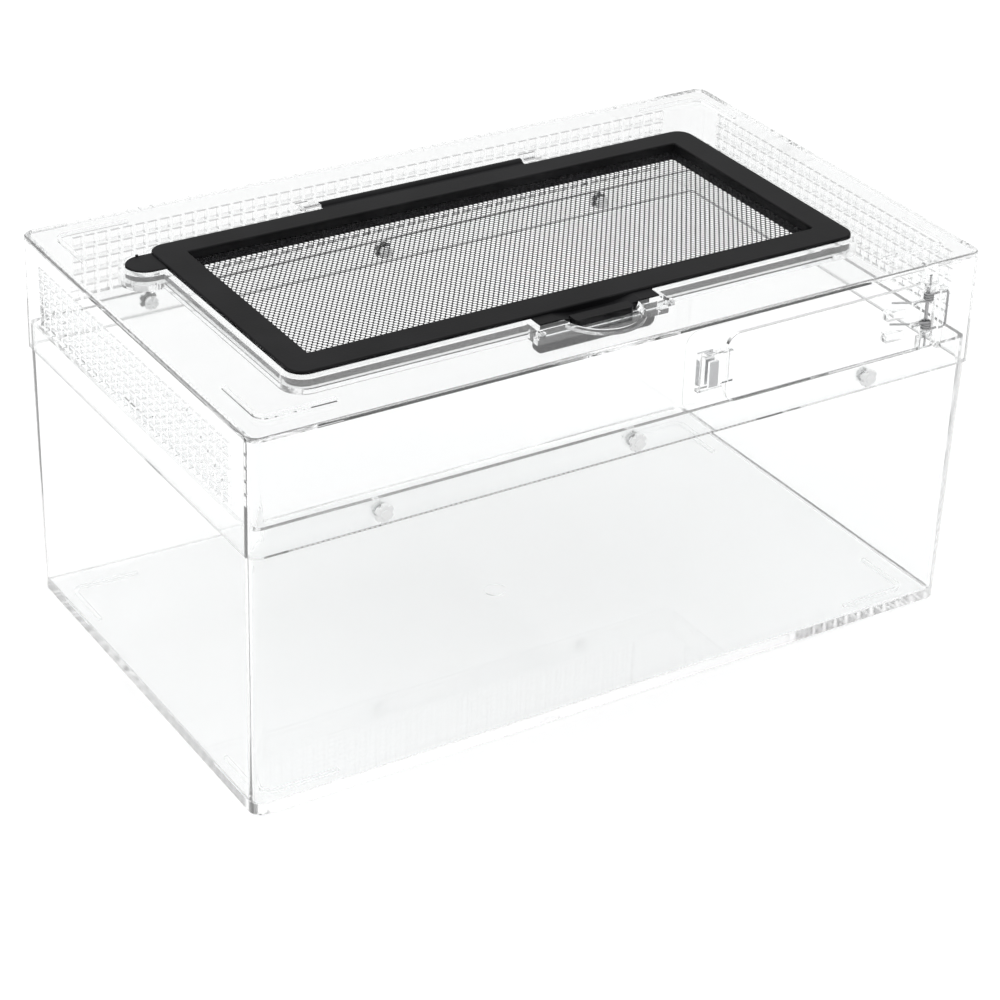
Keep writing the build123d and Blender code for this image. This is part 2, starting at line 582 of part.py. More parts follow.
def top_door_upper_frame():
    """The black upper frame with the hinge barrel, the tab, the front lip and the grip bar."""
    frame = slab(
        rounded(DOOR_LENGTH, DOOR_DEPTH, DOOR_CORNER_R, DOOR_CENTRE_Y), FRAME_SPLIT_Z, DOOR_TOP_Z
    )
    frame -= window_cut(FRAME_SPLIT_Z, DOOR_TOP_Z)
    frame = fillet(frame.faces().sort_by(Axis.Z)[-1].edges(), DOOR_EDGE_R)
    lip_top_z = DOOR_TOP_Z - LIP_BELOW_TOP
    lip = block(
        -LIP_HALF_WIDTH, LIP_HALF_WIDTH, LIP_FRONT_Y, DOOR_FRONT_Y + RAIL_FRONT / 2,
        FRAME_SPLIT_Z, lip_top_z,
    )
    frame += lip
    scoop = Polygon(
        (-SCOOP_HALF_WIDTH, lip_top_z), (-SCOOP_FLAT_HALF_WIDTH, lip_top_z - SCOOP_DEPTH),
        (SCOOP_FLAT_HALF_WIDTH, lip_top_z - SCOOP_DEPTH), (SCOOP_HALF_WIDTH, lip_top_z),
        align=None,
    )
    scoop_bar = extrude(Plane.XZ * scoop, LIP_REACH + CUT_MARGIN)
    frame -= Pos(0, DOOR_FRONT_Y, 0) * scoop_bar
    frame += grip_bar()
    frame += tab() - window_cut(DOOR_BOTTOM_Z, DOOR_TOP_Z)
    frame += block(
        -BARREL_HALF_LENGTH, BARREL_HALF_LENGTH, DOOR_BACK_Y - RAIL_BACK / 2, HINGE_Y,
        FRAME_SPLIT_Z, HINGE_Z + BARREL_R / 2,
    )
    frame += bar_along_x(-BARREL_HALF_LENGTH, BARREL_HALF_LENGTH, HINGE_Y, HINGE_Z, BARREL_R)
    bore = bar_along_x(
        -BARREL_HALF_LENGTH, BARREL_HALF_LENGTH, HINGE_Y, HINGE_Z, TOP_PIN_R + PIN_RUNNING_GAP
    )
    return frame - bore


def tab():
    """The round grooved tab, deeper outside the frame, with the nub of its gate."""
    body = slab(tab_plan(0), TAB_ROOT_Z, TAB_TOP_Z)
    body = fillet(body.faces().sort_by(Axis.Z)[-1].edges(), DOOR_EDGE_R)
    groove_z = TAB_TOP_Z - TAB_GROOVE_BELOW_TOP
    body -= slab(tab_plan(-CUT_MARGIN) - tab_plan(TAB_GROOVE_DEPTH), groove_z - TAB_GROOVE, groove_z)
    skirt_z = DOOR_BOTTOM_Z + TAB_SKIRT_SHORT
    outside = block(
        TAB_CENTRE_X - 2 * TAB_R, DOOR_LEFT_X, TAB_CENTRE_Y - TAB_R, TAB_CENTRE_Y + TAB_R,
        skirt_z, TAB_ROOT_Z,
    )
    body += slab(tab_plan(0), skirt_z, TAB_ROOT_Z) & outside
    nub_y = TAB_CENTRE_Y + TAB_R - TAB_NUB_R
    return body + upright(TAB_CENTRE_X, nub_y, TAB_NUB_R, TAB_ROOT_Z, TAB_TOP_Z + TAB_NUB_RISE)


def grip_bar():
    """The raised bar in front of the lip that a fingertip pulls up."""
    top_z = DOOR_TOP_Z - LIP_BELOW_TOP
    bar = block(
        -GRIP_HALF_WIDTH, GRIP_HALF_WIDTH, LIP_FRONT_Y - GRIP_DEPTH, LIP_FRONT_Y + GRIP_ROOT,
        FRAME_SPLIT_Z, top_z,
    )
    return fillet(bar.edges().filter_by(Axis.Z).sort_by(Axis.Y)[:2], GRIP_DEPTH / 2)


def top_door_lower_frame():
    """The black lower frame, rebated for the net."""
    inset = 2 * LOWER_FRAME_INSET
    plan = rounded(
        DOOR_LENGTH - inset, DOOR_DEPTH - inset, DOOR_CORNER_R - LOWER_FRAME_INSET, DOOR_CENTRE_Y
    )
    frame = slab(plan, DOOR_BOTTOM_Z, FRAME_SPLIT_Z)
    frame -= window_cut(DOOR_BOTTOM_Z, FRAME_SPLIT_Z)
    net_bottom = FRAME_SPLIT_Z - NET_THICK - NET_POCKET_GAP
    frame -= slab(net_plan(NET_POCKET_GAP), net_bottom, FRAME_SPLIT_Z)
    relief = tab_plan(-NET_POCKET_GAP)
    return frame - slab(relief, TAB_ROOT_Z - NET_POCKET_GAP, FRAME_SPLIT_Z)


def net_plan(grow):
    """The net's outline, lapped under the frames all round."""
    length = WINDOW_LENGTH + 2 * (NET_LAP + grow)
    depth = WINDOW_DEPTH + 2 * (NET_LAP + grow)
    return Pos(0, WINDOW_CENTRE_Y) * Rectangle(length, depth)


def top_door_net():
    """The black net as one holed sheet of staggered diamonds."""
    gap_x = NET_PITCH_X / 2 - NET_STRAND
    gap_y = NET_PITCH_Y / 2 - NET_STRAND
    diamond = Polygon((-gap_x, 0), (0, -gap_y), (gap_x, 0), (0, gap_y), align=None)
    columns = int(WINDOW_LENGTH // NET_PITCH_X)
    rows = int(WINDOW_DEPTH // NET_PITCH_Y)
    holes = []
    for shift in (0, 1):
        for i in range(columns - shift):
            for j in range(rows - shift):
                x = (i - (columns - 1 - shift) / 2) * NET_PITCH_X
                y = (j - (rows - 1 - shift) / 2) * NET_PITCH_Y
                holes.append(Pos(x, WINDOW_CENTRE_Y + y) * diamond)
    sheet = net_plan(0) - holes
    print("net gaps", len(holes))
    bottom = FRAME_SPLIT_Z - NET_THICK - NET_POCKET_GAP / 2
    return slab(sheet, bottom, bottom + NET_THICK)


def front_latch_plate():
    """The black plate that hangs from the door's front lip into the slot of the recess."""
    plate = block(
        -LIP_HALF_WIDTH, LIP_HALF_WIDTH, LATCH_FRONT_Y, LATCH_FRONT_Y + LATCH_THICK,
        FRAME_SPLIT_Z - LATCH_HEIGHT, FRAME_SPLIT_Z,
    )
    low_edges = plate.edges().filter_by(Axis.Y).sort_by(Axis.Z)[:2]
    return fillet(low_edges, LATCH_CORNER_R)


def top_hinge_pin():
    """The steel pin that the top door turns on."""
    return bar_along_x(-TOP_PIN_HALF_LENGTH, TOP_PIN_HALF_LENGTH, HINGE_Y, HINGE_Z, TOP_PIN_R)


def knuckle(z0):
    """One hinge knuckle of the feeding door with its web to the panel."""
    z1 = z0 + KNUCKLE_HEIGHT
    web_y0 = FRONT_PIN_Y - KNUCKLE_WEB_R
    web = block(PANEL_RIGHT_X, FRONT_PIN_X, web_y0, FRONT_PIN_Y + KNUCKLE_WEB_R, z0, z1)
    return web + upright(FRONT_PIN_X, FRONT_PIN_Y, KNUCKLE_R, z0, z1)


def leg_levels():
    """The heights of the two spring legs, upper first."""
    return [SPRING_MIDDLE_Z + side * COIL_FROM_MIDDLE for side in (1, -1)]


def leg_end_y():
    """How far inside the box a spring leg ends."""
    return FRONT_PIN_Y + LEG_INWARD


def leg_lean():
    """The angle in plan between a spring leg and the panel."""
    return math.atan2(LEG_INWARD, LEG_REACH) + math.asin(COIL_R / math.hypot(LEG_INWARD, LEG_REACH))


def leg_slot_x():
    """Where the slot for a spring leg ends, clear of the wire where it leaves the panel."""
    wire_side = (WIRE_R + LEG_SLOT_GAP) / math.cos(leg_lean())
    drop = leg_end_y() - wire_side - (FRONT_Y + PANEL_THICK)
    return FRONT_PIN_X - LEG_REACH + drop / math.tan(leg_lean())


def finger(z):
    """A clear finger inside the panel that one leg of the spring bears on."""
    top_y = leg_end_y() - WIRE_R - FINGER_GAP
    wall_y = FRONT_Y + PANEL_THICK
    left_x = FRONT_PIN_X - FINGER_LEFT
    right_x = FRONT_PIN_X - FINGER_RIGHT
    plan = Polygon(
        (left_x, wall_y), (left_x, top_y), (left_x + FINGER_FLAT, top_y), (right_x, wall_y), align=None
    )
    return slab(plan, z - FINGER_THICK / 2, z + FINGER_THICK / 2)


def front_door_panel():
    """The clear feeding door: panel, ear for the magnet, knuckles and spring fingers."""
    panel = block(
        PANEL_LEFT_X, PANEL_RIGHT_X, FRONT_Y, FRONT_Y + PANEL_THICK, PANEL_BOTTOM_Z, PANEL_TOP_Z
    )
    panel = fillet(panel.edges().filter_by(Axis.Y).sort_by(Axis.X)[:2], PANEL_CORNER_R)
    panel += [knuckle(TOP_KNUCKLE_Z), knuckle(LOW_KNUCKLE_Z)]
    slot_half = WIRE_R + LEG_SLOT_GAP
    for z in leg_levels():
        panel += finger(z)
        panel -= block(
            leg_slot_x(), FRONT_PIN_X, FRONT_Y - CUT_MARGIN, FRONT_Y + PANEL_THICK,
            z - slot_half, z + slot_half,
        )
    panel += door_ear()
    pin_bore = FRONT_PIN_R + PIN_RUNNING_GAP
    return panel - upright(FRONT_PIN_X, FRONT_PIN_Y, pin_bore, PANEL_BOTTOM_Z, PANEL_TOP_Z)


def door_ear():
    """The ear that laps the wall, with a pocket for the magnet and a bridge to the panel."""
    back_y = FRONT_Y - EAR_GAP
    front_y = back_y - EAR_THICK
    ear = block(
        EAR_LEFT_X, EAR_LEFT_X + EAR_LENGTH, front_y, back_y, EAR_BOTTOM_Z, EAR_BOTTOM_Z + EAR_HEIGHT
    )
    ear = fillet(ear.edges().group_by(Axis.Y)[0], EAR_EDGE_R)
    ear += block(
        EAR_LEFT_X + EAR_LENGTH / 2, PANEL_LEFT_X + BRIDGE_LAP, back_y - BRIDGE_THICK, back_y,
        EAR_BOTTOM_Z + BRIDGE_SHORT, EAR_BOTTOM_Z + EAR_HEIGHT - BRIDGE_SHORT,
    )
    ear += block(
        PANEL_LEFT_X, PANEL_LEFT_X + BRIDGE_LAP, back_y, FRONT_Y,
        EAR_BOTTOM_Z + BRIDGE_SHORT, EAR_BOTTOM_Z + EAR_HEIGHT - BRIDGE_SHORT,
    )
    half_length = MAGNET_LENGTH / 2 + MAGNET_GAP
    half_height = MAGNET_HEIGHT / 2 + MAGNET_GAP
    return ear - block(
        MAGNET_X - half_length, MAGNET_X + half_length,
        back_y - MAGNET_THICK - MAGNET_GAP - MAGNET_SINK, back_y,
        MAGNET_Z - half_height, MAGNET_Z + half_height,
    )


def magnet(y0):
    """A small block magnet whose front face lies at a given depth."""
    return block(
        MAGNET_X - MAGNET_LENGTH / 2, MAGNET_X + MAGNET_LENGTH / 2, y0, y0 + MAGNET_THICK,
        MAGNET_Z - MAGNET_HEIGHT / 2, MAGNET_Z + MAGNET_HEIGHT / 2,
    )


def front_hinge_pin():
    """The steel pin that the feeding door turns on."""
    return upright(FRONT_PIN_X, FRONT_PIN_Y, FRONT_PIN_R, FRONT_PIN_BOTTOM_Z, FRONT_PIN_TOP_Z)


def biarc(start, start_dir, end, end_dir):
    """Two arcs that join two points smoothly, leaving and arriving in the given directions."""
    chord = end - start
    both = start_dir + end_dir
    spread = 2 * (1 - start_dir.dot(end_dir))
    reach = chord.dot(both)
    step = (-reach + math.sqrt(reach * reach + spread * chord.dot(chord))) / spread
    first_knot = start + start_dir * step
    second_knot = end - end_dir * step
    middle = (first_knot + second_knot) * 0.5
    middle_dir = (second_knot - first_knot).normalized()
    return [TangentArc(start, middle, tangent=start_dir), TangentArc(middle, end, tangent=middle_dir)]


def coil_points(z0):
    """Points and directions down each quarter turn of a coil, from its leg to its loop."""
    start = -math.pi / 2 - leg_lean()
    turn = COIL_TURNS * math.tau + leg_lean()
    rise = COIL_PITCH * turn / math.tau
    spans = math.ceil(turn / (math.pi / 2))
    points = []
    for i in range(spans + 1):
        share = i / spans
        angle = start + turn * share
        climb = 0 if i in (0, spans) else rise / turn / COIL_R
        x = FRONT_PIN_X + COIL_R * math.cos(angle)
        y = FRONT_PIN_Y + COIL_R * math.sin(angle)
        point = Vector(x, y, z0 + rise * share)
        heading = Vector(-math.sin(angle), math.cos(angle), climb).normalized()
        points.append((point, heading))
    return points


def coil_edges(points):
    """The arcs of one coil."""
    edges = []
    for (start, start_dir), (end, end_dir) in zip(points, points[1:]):
        edges.extend(biarc(start, start_dir, end, end_dir))
    return edges


def mirrored(points):
    """The same coil mirrored about the spring's middle height."""
    twins = []
    for point, heading in points:
        twin = Vector(point.X, point.Y, 2 * SPRING_MIDDLE_Z - point.Z)
        twins.append((twin, Vector(heading.X, heading.Y, -heading.Z)))
    return twins


def spring_route():
    """The whole wire: leg, upper coil, loop, lower coil and leg."""
    upper = coil_points(SPRING_MIDDLE_Z + COIL_FROM_MIDDLE)
    lower = [(point, -heading) for point, heading in reversed(mirrored(upper))]
    leg_tip = Vector(FRONT_PIN_X - LEG_REACH, leg_end_y(), upper[0][0].Z)
    low_tip = Vector(leg_tip.X, leg_tip.Y, lower[-1][0].Z)
    loop_x = POST_X + POST_WIDTH + LOOP_BESIDE_POST
    loop = FilletPolyline(
        upper[-1][0], Vector(loop_x, LOOP_Y, upper[-1][0].Z), Vector(loop_x, LOOP_Y, lower[0][0].Z),
        lower[0][0], radius=LOOP_BEND_R,
    )
    edges = [Line(leg_tip, upper[0][0])]
    edges.extend(coil_edges(upper))
    edges.extend(loop.edges())
    edges.extend(coil_edges(lower))
    edges.append(Line(lower[-1][0], low_tip))
    return Wire(edges)


def least_gap(route):
    """The least clear distance between two turns of the wire, measured on points."""
    points = [route.position_at(i / GAP_SAMPLES) for i in range(GAP_SAMPLES + 1)]
    half_turn = math.pi * COIL_R + 2 * WIRE_R
    skip = math.ceil(GAP_SAMPLES * half_turn / route.length)
    least = math.inf
    for i, point in enumerate(points):
        for other in points[i + skip:]:
            least = min(least, (other - point).length)
    return least - 2 * WIRE_R


def door_spring():
    """The double torsion spring as one unbroken wire."""
    route = spring_route()
    section = Plane(origin=route @ 0, z_dir=route % 0) * Circle(WIRE_R)
    print("spring gap to itself", round(least_gap(route), 3), "wire length", round(route.length, 1))
    return sweep(section, path=route)


def parts():
    """Every piece of the box by its name."""
    pieces = {
        "base_tub": base_tub(),
        "lid_cover": lid_cover(),
        "top_door_upper_frame": top_door_upper_frame(),
        "top_door_lower_frame": top_door_lower_frame(),
        "top_door_net": top_door_net(),
        "front_latch_plate": front_latch_plate(),
        "top_hinge_pin": top_hinge_pin(),
        "front_door_panel": front_door_panel(),
        "front_hinge_pin": front_hinge_pin(),
        "front_door_spring": door_spring(),
        "front_door_magnet": magnet(FRONT_Y - EAR_GAP - MAGNET_SINK - MAGNET_THICK),
        "wall_magnet": magnet(INSIDE_FRONT_Y + PAD_THICK + MAGNET_GAP),
    }
    for name, x, side in rivet_places():
        pieces[f"rivet_{name}"] = on_wall(rivet(), x, side)
        pieces[f"rivet_pin_{name}"] = on_wall(rivet_pin(), x, side)
    return pieces


os.makedirs("parts", exist_ok=True)
for node, shape in parts().items():
    export_step(shape, f"parts/{node}.step")
    print(node, len(shape.solids()), round(shape.volume, 1))
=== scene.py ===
"""The looks of the clear breeding box: finishes, net, spring, floor, light and camera."""

import json
import logging
import math
from dataclasses import dataclass, field
from enum import Enum

import bpy
from mathutils import Matrix, Vector

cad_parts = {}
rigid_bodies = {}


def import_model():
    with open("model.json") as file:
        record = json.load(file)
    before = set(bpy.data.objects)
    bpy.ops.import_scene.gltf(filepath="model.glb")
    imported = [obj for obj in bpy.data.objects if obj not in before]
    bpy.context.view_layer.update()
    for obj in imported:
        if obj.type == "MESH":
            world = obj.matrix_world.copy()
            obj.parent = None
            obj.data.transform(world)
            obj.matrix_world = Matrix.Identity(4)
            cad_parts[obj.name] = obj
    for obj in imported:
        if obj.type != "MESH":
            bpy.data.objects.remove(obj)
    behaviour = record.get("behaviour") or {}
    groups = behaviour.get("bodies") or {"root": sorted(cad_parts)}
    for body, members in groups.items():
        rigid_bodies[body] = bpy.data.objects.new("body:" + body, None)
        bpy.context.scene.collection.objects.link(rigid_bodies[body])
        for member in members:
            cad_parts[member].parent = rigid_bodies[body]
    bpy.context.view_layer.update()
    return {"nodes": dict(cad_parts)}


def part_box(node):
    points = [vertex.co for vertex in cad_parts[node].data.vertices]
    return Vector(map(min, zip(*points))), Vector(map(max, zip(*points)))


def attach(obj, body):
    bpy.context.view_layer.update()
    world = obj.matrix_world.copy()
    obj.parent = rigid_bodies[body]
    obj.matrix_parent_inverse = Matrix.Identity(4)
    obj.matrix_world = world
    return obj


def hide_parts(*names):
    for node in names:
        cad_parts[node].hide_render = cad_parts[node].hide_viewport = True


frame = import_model()

LOG = logging.getLogger("breeding_box")
MM = 0.001
WHITE = (1.0, 1.0, 1.0, 1.0)


class Body(Enum):
    """The rigid bodies that pieces ride on."""

    HOUSING = "housing"
    TOP_DOOR = "top_door"
    FEEDING_DOOR = "feeding_door"


class StrandLean(Enum):
    """The two directions in which the net's strands run."""

    RISING = 1
    FALLING = -1


class Level(Enum):
    """The two layers of the net, one moulded onto the other."""

    LOWER = 0
    UPPER = 1


# Working on meshes


def select_only(*pieces: bpy.types.Object) -> None:
    """Deselect everything, then select the given pieces and make the first one active.

    Args:
        pieces: what is to be selected, or nothing.
    """
    for other in bpy.context.view_layer.objects:
        if not other.hide_viewport:
            other.select_set(False)
    for piece in pieces:
        piece.select_set(True)
    bpy.context.view_layer.objects.active = pieces[0] if pieces else None


def newest(name: str) -> bpy.types.Object:
    """Name the object that was just added.

    Args:
        name: the name for the object and its mesh.

    Returns:
        The active object.
    """
    piece = bpy.context.view_layer.objects.active
    piece.name = name
    piece.data.name = name
    return piece


def settle(piece: bpy.types.Object) -> None:
    """Carry the object's place, turn and scale into its mesh."""
    select_only(piece)
    bpy.ops.object.transform_apply(location=True, rotation=True, scale=True)


def apply_modifiers(piece: bpy.types.Object) -> None:
    """Apply every modifier of a piece in order.

    Args:
        piece: the piece with its live modifiers.
    """
    select_only(piece)
    for modifier in list(piece.modifiers):
        bpy.ops.object.modifier_apply(modifier=modifier.name)


def repeat_along(piece: bpy.types.Object, count: int, step: tuple[float, float, float]) -> None:
    """Give a piece a live array.

    Args:
        piece: the piece to repeat.
        count: how many copies there are, the first one among them.
        step: the way from one copy to the next.
    """
    repeat = piece.modifiers.new("repeat", "ARRAY")
    repeat.count = count
    repeat.use_relative_offset = False
    repeat.use_constant_offset = True
    repeat.constant_offset_displace = step


def dress(piece: bpy.types.Object, material: bpy.types.Material) -> None:
    """Give the whole piece one material."""
    piece.data.materials.clear()
    piece.data.materials.append(material)


def place_piece(piece: bpy.types.Object, body: Body, slot: str, *nodes: str) -> None:
    """Let a finished piece ride on a body and stand for nodes of the frame.

    Args:
        piece: the finished piece, with its place in its mesh.
        body: the body that it rides on.
        slot: the record's material slot; not used.
        nodes: the nodes that it stands for.
    """
    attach(piece, body.value)
    if nodes:
        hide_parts(*nodes)
    LOG.info("%s: %d faces", piece.name, len(piece.data.polygons))


# Shared effects


def new_group(name: str, inputs: dict[str, float], outputs: dict[str, str]) -> bpy.types.NodeTree:
    """Start a shader node group with number inputs.

    Args:
        name: the group's name.
        inputs: each input's name and default.
        outputs: each output's name and socket type.

    Returns:
        The group, with one input node and one output node.
    """
    group = bpy.data.node_groups.new(name, "ShaderNodeTree")
    for label, default in inputs.items():
        socket = group.interface.new_socket(label, in_out="INPUT", socket_type="NodeSocketFloat")
        socket.default_value = default
    for label, kind in outputs.items():
        group.interface.new_socket(label, in_out="OUTPUT", socket_type=kind)
    group.nodes.new("NodeGroupInput").name = "In"
    group.nodes.new("NodeGroupOutput").name = "Out"
    return group


def add_noise(group: bpy.types.NodeTree, scale: str, detail: float) -> bpy.types.Node:
    """Add a noise texture on Object coordinates.

    Args:
        group: the shader group that it goes in.
        scale: the group's input for its scale.
        detail: how many finer layers it has.

    Returns:
        The texture's node.
    """
    coordinates = group.nodes.new("ShaderNodeTexCoord")
    noise = group.nodes.new("ShaderNodeTexNoise")
    noise.inputs["Detail"].default_value = detail
    group.links.new(coordinates.outputs["Object"], noise.inputs["Vector"])
    group.links.new(group.nodes["In"].outputs[scale], noise.inputs["Scale"])
    return noise


def add_range(
    group: bpy.types.NodeTree, value: bpy.types.NodeSocket, low: str, high: str
) -> bpy.types.NodeSocket:
    """Spread a 0 to 1 value between two inputs of the group.

    Args:
        group: the shader group.
        value: the socket with the value.
        low: the input that 0 becomes.
        high: the input that 1 becomes.

    Returns:
        The socket with the result.
    """
    spread = group.nodes.new("ShaderNodeMapRange")
    group.links.new(value, spread.inputs["Value"])
    group.links.new(group.nodes["In"].outputs[low], spread.inputs["To Min"])
    group.links.new(group.nodes["In"].outputs[high], spread.inputs["To Max"])
    return spread.outputs["Result"]


def add_bump(
    group: bpy.types.NodeTree, height: bpy.types.NodeSocket, depth: str
) -> bpy.types.NodeSocket:
    """Turn a height into a bumped normal.

    Args:
        group: the shader group.
        height: the socket with the height.
        depth: the group's input for the depth in metres.

    Returns:
        The socket with the normal.
    """
    bump = group.nodes.new("ShaderNodeBump")
    bump.inputs["Strength"].default_value = 1.0
    group.links.new(height, bump.inputs["Height"])
    group.links.new(group.nodes["In"].outputs[depth], bump.inputs["Distance"])
    return bump.outputs["Normal"]


def build_mould_skin() -> bpy.types.NodeTree:
    """Build the faint waves and handling haze of a polished clear moulding.

    Returns:
        The group, with the outputs Roughness and Normal.
    """
    inputs = {
        "Wave Scale": 25.0, "Wave Depth": 0.02 * MM, "Haze Scale": 60.0, "Clean": 0.0, "Hazed": 0.05,
    }
    outputs = {"Roughness": "NodeSocketFloat", "Normal": "NodeSocketVector"}
    group = new_group("mould_skin", inputs, outputs)
    waves = add_noise(group, "Wave Scale", 1.0)
    haze = add_noise(group, "Haze Scale", 3.0)
    target = group.nodes["Out"]
    roughness = add_range(group, haze.outputs["Fac"], "Clean", "Hazed")
    group.links.new(roughness, target.inputs["Roughness"])
    group.links.new(add_bump(group, waves.outputs["Fac"], "Wave Depth"), target.inputs["Normal"])
    return group


def build_satin_grain() -> bpy.types.NodeTree:
    """Build the fine grain and uneven gloss of satin mouldings and drawn metal.

    Returns:
        The group, with the outputs Roughness, Normal and Patches.
    """
    inputs = {
        "Grain Scale": 900.0, "Grain Depth": 0.03 * MM, "Patch Scale": 40.0, "Glossy": 0.3, "Dull": 0.5,
    }
    outputs = {
        "Roughness": "NodeSocketFloat", "Normal": "NodeSocketVector", "Patches": "NodeSocketFloat",
    }
    group = new_group("satin_grain", inputs, outputs)
    grain = add_noise(group, "Grain Scale", 4.0)
    patches = add_noise(group, "Patch Scale", 3.0)
    target = group.nodes["Out"]
    roughness = add_range(group, patches.outputs["Fac"], "Glossy", "Dull")
    group.links.new(roughness, target.inputs["Roughness"])
    group.links.new(add_bump(group, grain.outputs["Fac"], "Grain Depth"), target.inputs["Normal"])
    group.links.new(patches.outputs["Fac"], target.inputs["Patches"])
    return group


# Finishes


@dataclass(frozen=True)
class Finish:
    """What every finish has: a name, a colour and a shader group with its values."""

    name: str
    colour: tuple[float, float, float]
    values: dict[str, float] = field(default_factory=dict)

    def start(
        self, group: bpy.types.NodeTree
    ) -> tuple[bpy.types.Material, bpy.types.Node, bpy.types.Node]:
        """Make the material with its surface shader and the placed group.

        Args:
            group: the shared effect that feeds roughness and normal.

        Returns:
            The material, its surface shader and the group's node.
        """
        material = bpy.data.materials.new(self.name)
        material.use_nodes = True
        shader = material.node_tree.nodes["Principled BSDF"]
        shader.inputs["Base Color"].default_value = (*self.colour, 1.0)
        effect = material.node_tree.nodes.new("ShaderNodeGroup")
        effect.node_tree = group
        for label, value in self.values.items():
            effect.inputs[label].default_value = value
        links = material.node_tree.links
        links.new(effect.outputs["Roughness"], shader.inputs["Roughness"])
        links.new(effect.outputs["Normal"], shader.inputs["Normal"])
        return material, shader, effect


@dataclass(frozen=True)
class ClearPlastic(Finish):
    """Polished clear polystyrene that bends the light at every edge, with a painted glow: a faint white
    emission that lightens it, though it is no lamp.
    """

    ior: float = 1.57
    # painted glow: the strength of a faint white emission that lightens the clear plastic, though it is
    # no lamp
    painted_glow: float = 0.003

    def build(self, group: bpy.types.NodeTree) -> bpy.types.Material:
        """Make the clear material.

        Args:
            group: the skin of polished mouldings.

        Returns:
            The material.
        """
        material, shader, _ = self.start(group)
        shader.inputs["Metallic"].default_value = 0.0
        shader.inputs["Transmission Weight"].default_value = 1.0
        shader.inputs["IOR"].default_value = self.ior
        # painted glow: the clear plastic emits faint white light, though it is no lamp
        shader.inputs["Emission Color"].default_value = WHITE
        shader.inputs["Emission Strength"].default_value = self.painted_glow
        return material


@dataclass(frozen=True)
class MilkyPlastic(Finish):
    """Natural nylon: milky, with a little light passing through and a dull skin."""

    ior: float = 1.3
    clearness: float = 0.12

    def build(self, group: bpy.types.NodeTree) -> bpy.types.Material:
        """Make the milky material.

        Args:
            group: the skin of polished mouldings.

        Returns:
            The material.
        """
        material, shader, _ = self.start(group)
        shader.inputs["Metallic"].default_value = 0.0
        shader.inputs["Transmission Weight"].default_value = self.clearness
        shader.inputs["IOR"].default_value = self.ior
        return material


@dataclass(frozen=True)
class SatinPlastic(Finish):
    """Black moulded plastic with a fine grain and a dull sheen at a low angle."""

    worn_colour: tuple[float, float, float] = (0.014, 0.014, 0.015)
    wear_start: float = 0.42
    wear_full: float = 0.75
    specular: float = 0.07

    def build(self, group: bpy.types.NodeTree) -> bpy.types.Material:
        """Make the black material, slightly greyer where it is handled.

        Args:
            group: the grain of satin mouldings.

        Returns:
            The material.
        """
        material, shader, effect = self.start(group)
        tree = material.node_tree
        ramp = tree.nodes.new("ShaderNodeValToRGB")
        fresh, worn = ramp.color_ramp.elements
        fresh.position = self.wear_start
        fresh.color = (*self.colour, 1.0)
        worn.position = self.wear_full
        worn.color = (*self.worn_colour, 1.0)
        tree.links.new(effect.outputs["Patches"], ramp.inputs["Fac"])
        tree.links.new(ramp.outputs["Color"], shader.inputs["Base Color"])
        shader.inputs["Specular IOR Level"].default_value = self.specular
        return material


@dataclass(frozen=True)
class DrawnMetal(Finish):
    """Drawn or plated metal with fine scratches."""

    def build(self, group: bpy.types.NodeTree) -> bpy.types.Material:
        """Make the metal material.

        Args:
            group: the grain of drawn metal.

        Returns:
            The material.
        """
        material, shader, _ = self.start(group)
        shader.inputs["Metallic"].default_value = 1.0
        return material


class Palette:
    """Every material of the box, built once."""

    def __init__(self) -> None:
        """Build the shared effects and the materials on them."""
        skin = build_mould_skin()
        grain = build_satin_grain()
        self.tub = ClearPlastic("clear_tub", (0.978, 0.982, 0.982)).build(skin)
        self.lid = ClearPlastic("clear_lid", (0.978, 0.982, 0.982)).build(skin)
        self.door = ClearPlastic("clear_door", (0.98, 0.985, 0.985)).build(skin)
        self.rivet = MilkyPlastic(
            "clear_rivet", (0.9, 0.905, 0.905), {"Clean": 0.35, "Hazed": 0.5}
        ).build(skin)
        self.frame = SatinPlastic("black_frame", (0.007, 0.007, 0.0075)).build(grain)
        self.net = SatinPlastic(
            "black_net", (0.01, 0.01, 0.011), {"Glossy": 0.5, "Dull": 0.7}
        ).build(grain)
        self.pin = DrawnMetal(
            "steel_pin", (0.38, 0.38, 0.385), {"Glossy": 0.2, "Dull": 0.35}
        ).build(grain)
        self.spring = DrawnMetal(
            "spring_wire", (0.36, 0.36, 0.365), {"Glossy": 0.2, "Dull": 0.4}
        ).build(grain)
        self.magnet = DrawnMetal(
            "magnet_plate", (0.45, 0.45, 0.46), {"Glossy": 0.25, "Dull": 0.45}
        ).build(grain)


# Sub-assemblies


@dataclass
class Enclosure:
    """The clear tub and the clear lid."""

    palette: Palette

    def build(self) -> None:
        """Dress the tub and the lid."""
        dress(frame["nodes"]["base_tub"], self.palette.tub)
        dress(frame["nodes"]["lid_cover"], self.palette.lid)
        LOG.info("tub and lid dressed")


@dataclass
class Rivets:
    """The six clear push rivets and their pins."""

    palette: Palette

    def build(self) -> None:
        """Dress each rivet and each pin."""
        for name, node in frame["nodes"].items():
            if name.startswith("rivet_"):
                dress(node, self.palette.rivet)
        LOG.info("rivets dressed")


